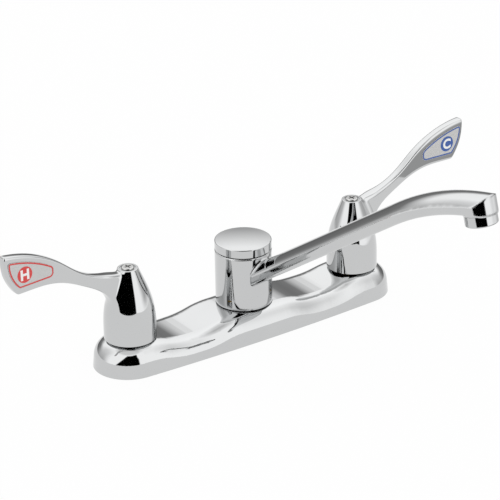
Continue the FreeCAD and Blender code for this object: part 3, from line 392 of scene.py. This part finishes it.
def new_group(name, floats):
    """An empty geometry group with named inputs, and the sockets that bring them in."""
    tree = bpy.data.node_groups.new(name, "GeometryNodeTree")
    tree.interface.new_socket("Line", in_out="INPUT", socket_type="NodeSocketGeometry")
    for item in floats:
        tree.interface.new_socket(item, in_out="INPUT", socket_type="NodeSocketFloat")
    tree.interface.new_socket("Finish", in_out="INPUT", socket_type="NodeSocketMaterial")
    tree.interface.new_socket("Piece", in_out="OUTPUT", socket_type="NodeSocketGeometry")
    return tree, add(tree, "NodeGroupInput").outputs


def end_group(tree, shape, finish):
    """Makes a group's shape real, gives it its material and sends it out."""
    real = add(tree, "GeometryNodeRealizeInstances", inputs={0: shape})
    done = add(tree, "GeometryNodeSetMaterial", inputs={"Geometry": real.outputs[0], "Material": finish})
    add(tree, "NodeGroupOutput", inputs={0: done.outputs[0]})
    return tree


def grown(data, tree, **values):
    """The plain mesh that a geometry group gives, with its inputs set by name."""
    def set_up(modifier):
        modifier.node_group = tree
        for item in tree.interface.items_tree:
            if item.in_out == "INPUT" and item.name in values:
                modifier[item.identifier] = values[item.name]
    return settled(data, "NODES", set_up)


# The handles' sizes, in millimetres. The front is the side of the blade that carries the index plate.
HANDLES = {
    "hot": {"axis": -101.6, "turn": math.radians(183.0), "front": 1},
    "cold": {"axis": 101.6, "turn": math.radians(0.5), "front": -1},
}
HUB_RADIUS = 19.45
HUB_BOTTOM = 22.3
HUB_SHOULDER = 34.0
HUB_SHOULDER_RADIUS = 75.0
HUB_CONE = math.radians(23.0)
HUB_TOP = 77.2
CAVITY_RADIUS = 17.0
CAVITY_SHOULDER = 40.0
CAVITY_TOP = 58.0
CAVITY_TIP = 10.5
SOCKET_RADIUS = 5.0
SOCKET_TOP = 69.5
RECESS_RADIUS = 6.2
RECESS_FLOOR = 76.6
RECESS_MIDDLE = 2.1
RIM_EDGE = 0.5
BLADE_HALF = 3.6
BLADE_FOOT = 4.04
BLADE_FOOT_HEIGHT = 56.0
BLADE_FOOT_RISE = math.radians(28.0)
BLADE_BELLY = 48.64
BLADE_BELLY_RADIUS = 58.6
BLADE_DROOP = math.radians(1.2)
BLADE_NECK = 8.08
BLADE_NECK_RADIUS = 64.1
BLADE_TOP_RISE = math.radians(43.0)
BLADE_BACK_RADIUS = 87.1
BLADE_EDGE = 3.2
BLADE_EDGE_SHARE = 0.26

cone_start = HUB_SHOULDER + HUB_SHOULDER_RADIUS * math.sin(HUB_CONE)
cone_radius = HUB_RADIUS - HUB_SHOULDER_RADIUS * (1 - math.cos(HUB_CONE))
rim_radius = cone_radius - math.tan(HUB_CONE) * (HUB_TOP - cone_start)
neck_along = BLADE_NECK + BLADE_NECK_RADIUS * math.sin(BLADE_TOP_RISE)
neck_height = HUB_TOP + BLADE_NECK_RADIUS * (1 - math.cos(BLADE_TOP_RISE))
back_along = neck_along + BLADE_BACK_RADIUS * math.sin(BLADE_TOP_RISE)
back_height = neck_height - BLADE_BACK_RADIUS * math.cos(BLADE_TOP_RISE)
belly_height = BLADE_FOOT_HEIGHT + math.tan(BLADE_FOOT_RISE) * (BLADE_BELLY - BLADE_FOOT)
belly_middle = BLADE_BELLY + BLADE_BELLY_RADIUS * math.sin(BLADE_FOOT_RISE)
belly_centre = belly_height - BLADE_BELLY_RADIUS * math.cos(BLADE_FOOT_RISE)
droop_along = belly_middle + BLADE_BELLY_RADIUS * math.sin(BLADE_DROOP)
droop_height = belly_centre + BLADE_BELLY_RADIUS * math.cos(BLADE_DROOP)

# Smoothing draws a ring in, so each ring starts wider by this much
HUB_SEGMENTS = 16
RING_SPREAD = 6 / (4 + 2 * math.cos(2 * math.pi / HUB_SEGMENTS))
SKIRT_HEIGHTS = (26.0, 31.0, 36.5, 42.0, 47.5)
ROOT_HEIGHTS = (53.5, 60.0, 66.0, 71.8, 75.6)
LEVELS = len(ROOT_HEIGHTS)
# Each station along the blade: distance at the bottom and at the top, drop of the bottom where it runs down
# into the hub, half thickness, and bulge towards the tip
STATIONS = (
    (19.4, 16.5, 4.0, 5.3, 0),
    (24.0, 23.0, 1.4, 4.4, 0),
    (30.0, 30.0, 0.2, 3.8, 0),
    (36.0, 36.5, 0, BLADE_HALF, 0),
    (42.5, 43.0, 0, BLADE_HALF, 0),
    (49.0, 50.0, 0, BLADE_HALF, 0),
    (57.0, 58.0, 0, BLADE_HALF, 0),
    (65.0, 66.5, 0, BLADE_HALF, 0),
    (73.0, 75.5, 0, BLADE_HALF, 0.3),
    (80.5, 85.0, 0, BLADE_HALF, 1.0),
    (87.0, 94.5, 0, BLADE_HALF, 2.0),
    (91.2, 101.5, 0, BLADE_HALF, 3.2),
    (93.9, 104.2, 0, BLADE_HALF, 4.1),
    (95.9, 105.9, 0, 3.5, 4.9),
)
SUBDIVISIONS = 3
SHARP_ANGLE = math.radians(40)


def hub_radius_at(height):
    """The hub's outer radius: a straight skirt, a round shoulder, then a cone."""
    if height <= HUB_SHOULDER:
        return HUB_RADIUS
    if height <= cone_start:
        rise = height - HUB_SHOULDER
        return HUB_RADIUS - HUB_SHOULDER_RADIUS + math.sqrt(HUB_SHOULDER_RADIUS ** 2 - rise ** 2)
    return cone_radius - math.tan(HUB_CONE) * (height - cone_start)


def blade_bottom(along):
    """The height of the blade's lower edge: a straight rise, a round belly, then a slight droop."""
    if along <= BLADE_BELLY:
        return BLADE_FOOT_HEIGHT + math.tan(BLADE_FOOT_RISE) * (along - BLADE_FOOT)
    if along <= droop_along:
        return belly_centre + math.sqrt(BLADE_BELLY_RADIUS ** 2 - (along - belly_middle) ** 2)
    return droop_height - math.tan(BLADE_DROOP) * (along - droop_along)


def blade_top(along):
    """The height of the blade's upper edge: a hollow neck, then a round back."""
    if along <= neck_along:
        return HUB_TOP + BLADE_NECK_RADIUS - math.sqrt(BLADE_NECK_RADIUS ** 2 - (along - BLADE_NECK) ** 2)
    return back_height + math.sqrt(BLADE_BACK_RADIUS ** 2 - (along - back_along) ** 2)


def handle_place(side):
    """Turns millimetres along, across and up a handle into the frame's metres."""
    handle = HANDLES[side]
    stand = Matrix.Translation((handle["axis"] * MM, 0, 0)) @ Matrix.Rotation(handle["turn"], 4, "Z")
    return stand @ Matrix.Scale(MM, 4)


def handle_rings():
    """The hub's section, from its socket down the cavity, up the skirt and into the screw's recess.

    Each ring has its radius, its height and whether it stays sharp.
    """
    skirt = [(hub_radius_at(height), height, False) for height in SKIRT_HEIGHTS + ROOT_HEIGHTS]
    return [
        (SOCKET_RADIUS, SOCKET_TOP, True),
        (SOCKET_RADIUS, CAVITY_TOP, True),
        (CAVITY_TIP, CAVITY_TOP, True),
        (CAVITY_RADIUS, CAVITY_SHOULDER, True),
        (CAVITY_RADIUS, HUB_BOTTOM, True),
        (HUB_RADIUS, HUB_BOTTOM, True),
        *skirt,
        (hub_radius_at(HUB_TOP - RIM_EDGE), HUB_TOP - RIM_EDGE, False),
        (rim_radius, HUB_TOP, False),
        (rim_radius - RIM_EDGE, HUB_TOP, False),
        (RECESS_RADIUS, HUB_TOP, True),
        (RECESS_RADIUS, RECESS_FLOOR, True),
        (RECESS_MIDDLE, RECESS_FLOOR, False),
    ]


def cage_hub(cage):
    """Draws the hub as rings, open where the blade leaves it, and returns the rings around that opening."""
    crease = cage.edges.layers.float.new("crease_edge")
    profile = handle_rings()
    rings = []
    for radius, height, sharp in profile:
        spread = radius * RING_SPREAD
        ring = []
        for segment in range(HUB_SEGMENTS):
            angle = 2 * math.pi * segment / HUB_SEGMENTS
            ring.append(cage.verts.new((spread * math.cos(angle), spread * math.sin(angle), height)))
        rings.append(ring)
    cage.faces.new(rings[0])
    cage.faces.new(rings[-1])
    root = [height for radius, height, sharp in profile].index(ROOT_HEIGHTS[0])
    for row, (ring, following) in enumerate(zip(rings, rings[1:])):
        for segment in range(HUB_SEGMENTS):
            if root <= row < root + LEVELS - 1 and segment in (HUB_SEGMENTS - 1, 0):
                continue
            after = (segment + 1) % HUB_SEGMENTS
            cage.faces.new((ring[segment], ring[after], following[after], following[segment]))
    for ring, (radius, height, sharp) in zip(rings, profile):
        if sharp:
            for here, there in zip(ring, ring[1:] + ring[:1]):
                cage.edges.get((here, there))[crease] = 1.0
    return rings[root:root + LEVELS]


def station_point(station, column, level):
    """A point of the blade at a station, in one of three columns across it and on one of five levels up it.

    The bulge is full halfway up, and nothing at the bottom and at the top.
    """
    low, high, drop, half, bulge = station
    foot = Vector((low, blade_bottom(low) - drop))
    crest = Vector((high, blade_top(high)))
    chord = crest - foot
    edge = min(BLADE_EDGE / chord.length, BLADE_EDGE_SHARE)
    share = (0, edge, 0.5, 1 - edge, 1)[level]
    outward = Vector((chord.y, -chord.x)).normalized()
    side_view = foot + chord * share + outward * (bulge * 4 * share * (1 - share))
    return side_view.x, column * half, side_view.y


def cage_blade(cage, opening):
    """Draws the blade out of the hub's opening, through its stations, and closes its tip."""
    around = [(-1, 0), (0, 0)] + [(1, level) for level in range(LEVELS)]
    around += [(0, LEVELS - 1)] + [(-1, level) for level in range(LEVELS - 1, 0, -1)]
    loop = {(column, level): opening[level][column] for column, level in around}
    for station in STATIONS:
        following = {}
        for column, level in around:
            following[column, level] = cage.verts.new(station_point(station, column, level))
        for here, there in zip(around, around[1:] + around[:1]):
            cage.faces.new((loop[here], loop[there], following[there], following[here]))
        loop = following
    for level in range(1, LEVELS - 1):
        loop[0, level] = cage.verts.new(station_point(STATIONS[-1], 0, level))
    for level in range(LEVELS - 1):
        for column in (-1, 0):
            corners = ((column, level), (column + 1, level), (column + 1, level + 1), (column, level + 1))
            cage.faces.new([loop[corner] for corner in corners])


def handle_cage():
    """The handle as one coarse mesh, with the blade drawn out of two segments of the hub."""
    cage = bmesh.new()
    cage_blade(cage, cage_hub(cage))
    spare = [vertex for vertex in cage.verts if not vertex.link_faces]
    bmesh.ops.delete(cage, geom=spare, context="VERTS")
    bmesh.ops.recalc_face_normals(cage, faces=cage.faces)
    mesh = bpy.data.meshes.new("handle_cage")
    cage.to_mesh(mesh)
    cage.free()
    return mesh


def subdivide(modifier):
    """Smooths a cage as finely in the view as in the render."""
    modifier.levels = SUBDIVISIONS
    modifier.render_levels = SUBDIVISIONS


def make_handle(side, material):
    """One casting, with the blade flowing out of the hub."""
    mesh = settled(handle_cage(), "SUBSURF", subdivide)
    mesh.transform(handle_place(side))
    for polygon in mesh.polygons:
        polygon.use_smooth = True
    mesh.set_sharp_from_angle(angle=SHARP_ANGLE)
    piece = new_piece(side + "_handle_casting", mesh, material, side + "_lever")
    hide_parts(side + "_handle")


# The print on the index plates, in millimetres. Border and disc are sunk to half their depth.
PRINT_HEIGHT = 0.06
BORDER_INSET = 0.75
BORDER_WIDTH = 1.1
BORDER_STEP = BORDER_WIDTH / 8
DISC_ALONG = 90.2
DISC_UP = 100.8
DISC_RADIUS = 6.2
DISC_SIDES = 96
LETTER_SIZE = 10.8
LETTER_WEIGHT = 0.42
LETTER_LIFT = 0.05


def plate_outline(side):
    """The index plate's front outline and its distance from the blade's middle, in the handle's own axes."""
    front = HANDLES[side]["front"]
    away = handle_place(side).inverted()
    points = [away @ vertex.co for vertex in nodes[side + "_index_plate"].data.vertices]
    level = max(point.y * front for point in points)
    flat = [Vector((point.x, point.z)) for point in points if point.y * front > level - PRINT_HEIGHT]
    return [flat[number] for number in geometry.convex_hull_2d(flat)], level


def drawn_in(outline, inset):
    """A convex outline, moved inwards on every side."""
    middle = sum(outline, Vector((0, 0))) / len(outline)
    moved = []
    for before, point, after in zip(outline[-1:] + outline[:-1], outline, outline[1:] + outline[:1]):
        normals = []
        for start, end in ((before, point), (point, after)):
            run = (end - start).normalized()
            normal = Vector((-run.y, run.x))
            normals.append(normal if normal.dot(middle - point) > 0 else -normal)
        lean = normals[0] + normals[1]
        moved.append(point + lean * (inset / (1 + normals[0].dot(normals[1]))))
    return moved


def thinned(outline, shortest):
    """Leaves out points that lie closer together than a given distance."""
    kept = [outline[0]]
    for point in outline[1:]:
        if (point - kept[-1]).length > shortest:
            kept.append(point)
    return kept


def band_group():
    """Sweeps a flat band along a closed line."""
    tree, given = new_group("printed_band", ("Width", "Height"))
    section = add(tree, "GeometryNodeCurvePrimitiveQuadrilateral",
                  inputs={"Width": given["Width"], "Height": given["Height"]})
    band = add(tree, "GeometryNodeCurveToMesh",
               inputs={"Curve": given["Line"], "Profile Curve": section.outputs[0]})
    return end_group(tree, band.outputs[0], given["Finish"])


def border_mesh(outline, front, ink):
    """A band just inside an outline, flat in x and y."""
    line = bpy.data.curves.new("border_line", "CURVE")
    line.dimensions = "3D"
    spline = line.splines.new("POLY")
    spots = thinned(drawn_in(outline, BORDER_INSET), BORDER_STEP)
    spline.points.add(len(spots) - 1)
    for point, spot in zip(spline.points, spots):
        point.co = (spot.x * -front, spot.y, 0, 1)
    spline.use_cyclic_u = True
    return grown(line, band_group(), Width=BORDER_WIDTH, Height=PRINT_HEIGHT * 2, Finish=ink)


def disc_mesh():
    """A thin round print around the origin, flat in x and y."""
    disc = bmesh.new()
    bmesh.ops.create_cone(disc, cap_ends=True, segments=DISC_SIDES, radius1=DISC_RADIUS,
                          radius2=DISC_RADIUS - PRINT_HEIGHT, depth=PRINT_HEIGHT * 2)
    mesh = bpy.data.meshes.new("disc")
    disc.to_mesh(mesh)
    disc.free()
    return mesh


def letter_mesh(letter):
    """A letter centred on the origin, flat in x and y and lifted onto its disc."""
    text = bpy.data.curves.new("letter", "FONT")
    text.body = letter
    text.size = LETTER_SIZE
    text.extrude = LETTER_LIFT
    text.offset = LETTER_WEIGHT
    mesh = settled(text)
    across = [vertex.co.x for vertex in mesh.vertices]
    upwards = [vertex.co.y for vertex in mesh.vertices]
    centre = Vector((min(across) + max(across), min(upwards) + max(upwards), 0)) / 2
    mesh.transform(Matrix.Translation(Vector((0, 0, PRINT_HEIGHT + LETTER_LIFT)) - centre))
    return mesh


def make_print(side, letter, ink, white):
    """Border, disc and letter, stood up against a handle's index plate so that they read from the front."""
    front = HANDLES[side]["front"]
    body = side + "_lever"
    outline, level = plate_outline(side)
    turned = Matrix.Rotation(math.pi if front > 0 else 0, 4, "Z")
    upright = Matrix.Translation((0, -level, 0)) @ Matrix.Rotation(math.pi / 2, 4, "X")
    on_plate = handle_place(side) @ turned @ upright
    on_disc = on_plate @ Matrix.Translation((DISC_ALONG * -front, DISC_UP, 0))
    border = border_mesh(outline, front, ink)
    border.transform(on_plate)
    new_piece(side + "_index_border", border, ink, body)
    disc = disc_mesh()
    disc.transform(on_disc)
    new_piece(side + "_index_disc", disc, ink, body)
    shape = letter_mesh(letter)
    shape.transform(on_disc)
    new_piece(side + "_index_letter", shape, white, body)


# The supply threads, in millimetres: a standard half-inch pipe thread of fourteen turns to the inch
THREAD_PITCH = 1.814
THREAD_TURNS = 11
THREAD_RADIUS = 10.2
THREAD_RIDGE = 0.5
THREAD_BOTTOM = -44.2
THREAD_STEPS = 48
RIDGE_SIDES = 3


def thread_group():
    """Winds a three-sided ridge up a cylinder."""
    tree, given = new_group("shank_thread", ("Turns", "Radius", "Length", "Ridge"))
    winding = add(tree, "GeometryNodeCurveSpiral", inputs={
        "Resolution": THREAD_STEPS, "Rotations": given["Turns"], "Start Radius": given["Radius"],
        "End Radius": given["Radius"], "Height": given["Length"]})
    section = add(tree, "GeometryNodeCurvePrimitiveCircle",
                  inputs={"Resolution": RIDGE_SIDES, "Radius": given["Ridge"]})
    ridge = add(tree, "GeometryNodeCurveToMesh",
                inputs={"Curve": winding.outputs[0], "Profile Curve": section.outputs[0], "Fill Caps": True})
    return end_group(tree, ridge.outputs[0], given["Finish"])


def make_threads(material):
    """The thread on each supply shank."""
    tree = thread_group()
    for side, handle in HANDLES.items():
        empty = bpy.data.meshes.new("empty")
        mesh = grown(empty, tree, Turns=float(THREAD_TURNS), Radius=THREAD_RADIUS, Ridge=THREAD_RIDGE,
                     Length=THREAD_PITCH * THREAD_TURNS, Finish=material)
        mesh.transform(Matrix.Scale(MM, 4) @ Matrix.Translation((handle["axis"], 0, THREAD_BOTTOM)))
        new_piece(side + "_shank_thread", mesh, material, "base")


# The aerator's wire mesh, in millimetres, and the way that the outlet faces
MESH_RADIUS = 7.4
MESH_STEPS = 15
WIRE_RADIUS = 0.16
WIRE_SIDES = 6
SCREEN_HALF = 1.1
OUTLET_TILT = math.radians(13.0)
SPOUT_HEADING = math.radians(-76.0)


def wire_group():
    """A round piece of wire mesh: a grid's lines inside a circle, each given the thickness of a wire."""
    tree, given = new_group("wire_mesh", ("Radius", "Wire"))
    width = add(tree, "ShaderNodeMath", {"operation": "MULTIPLY"}, {0: given["Radius"], 1: 2.0}).outputs[0]
    grid = add(tree, "GeometryNodeMeshGrid",
               inputs={"Size X": width, "Size Y": width, "Vertices X": MESH_STEPS, "Vertices Y": MESH_STEPS})
    place = add(tree, "GeometryNodeInputPosition").outputs[0]
    away = add(tree, "ShaderNodeVectorMath", {"operation": "LENGTH"}, {0: place}).outputs["Value"]
    outside = add(tree, "FunctionNodeCompare", {"operation": "GREATER_THAN"}, {0: away, 1: given["Radius"]})
    inside = add(tree, "GeometryNodeDeleteGeometry", {"domain": "POINT"},
                 {"Geometry": grid.outputs[0], "Selection": outside.outputs[0]})
    lines = add(tree, "GeometryNodeMeshToCurve", inputs={0: inside.outputs[0]})
    section = add(tree, "GeometryNodeCurvePrimitiveCircle",
                  inputs={"Resolution": WIRE_SIDES, "Radius": given["Wire"]})
    wires = add(tree, "GeometryNodeCurveToMesh",
                inputs={"Curve": lines.outputs[0], "Profile Curve": section.outputs[0], "Fill Caps": True})
    return end_group(tree, wires.outputs[0], given["Finish"])


def make_wire_mesh(material):
    """Fine wire mesh across the mouth of the aerator."""
    empty = bpy.data.meshes.new("empty")
    mesh = grown(empty, wire_group(), Radius=MESH_RADIUS, Wire=WIRE_RADIUS, Finish=material)
    low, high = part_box("aerator_screen")
    middle = (Vector(low) + Vector(high)) / 2
    aim = Matrix.Rotation(SPOUT_HEADING, 4, "Z") @ Matrix.Rotation(-OUTLET_TILT, 4, "Y")
    drop = Matrix.Translation((0, 0, -(SCREEN_HALF + WIRE_RADIUS) * MM))
    mesh.transform(Matrix.Translation(middle) @ aim @ drop @ Matrix.Scale(MM, 4))
    new_piece("aerator_wire_mesh", mesh, material, "swivel_spout")


set_camera()
set_world()
make_floor()
scene.view_settings.view_transform = "Standard"

chrome = polished_chrome("polished_chrome_plate")
stainless = turned_steel()
brass = turned_brass()
rubber = nitrile_rubber()
ceramic = lapped_ceramic()
white_plastic = white_acetal()
paint(polished_chrome("buffed_chrome_plate", BUFFED_EDGE), "spout")
paint(chrome, "base_plate", "spout_cap", "aerator_housing", "hot_handle", "cold_handle")
paint(stainless, "hot_handle_screw", "cold_handle_screw")
paint(plated_steel(), "mounting_washers", "spout_retaining_clip")
paint(brass, "spout_post", "mounting_nuts")
paint(rubber, "deck_gasket", "spout_o_rings", "spout_cap_ring", "aerator_gasket")
paint(black_acetal(), "spout_glide_ring")
paint(white_plastic, "aerator_screen")
paint(satin_label(), "hot_index_plate", "cold_index_plate")
for side in HANDLES:
    paint(brass, side + "_valve_body", side + "_crossover_tube", side + "_bonnet_nut", side + "_stem")
    paint(rubber, side + "_seat_seal", side + "_stem_ring")
    paint(ceramic, side + "_fixed_disc", side + "_moving_disc")
    paint(white_plastic, side + "_cartridge_shell")
    make_handle(side, chrome)
white = printed_ink("white_print", "#EDEDEB", "#FAFAF8")
make_print("hot", "H", printed_ink("red_print", "#D23B3A", "#DC4A47"), white)
make_print("cold", "C", printed_ink("blue_print", "#38599F", "#4265AD"), white)
make_threads(brass)
make_wire_mesh(stainless)
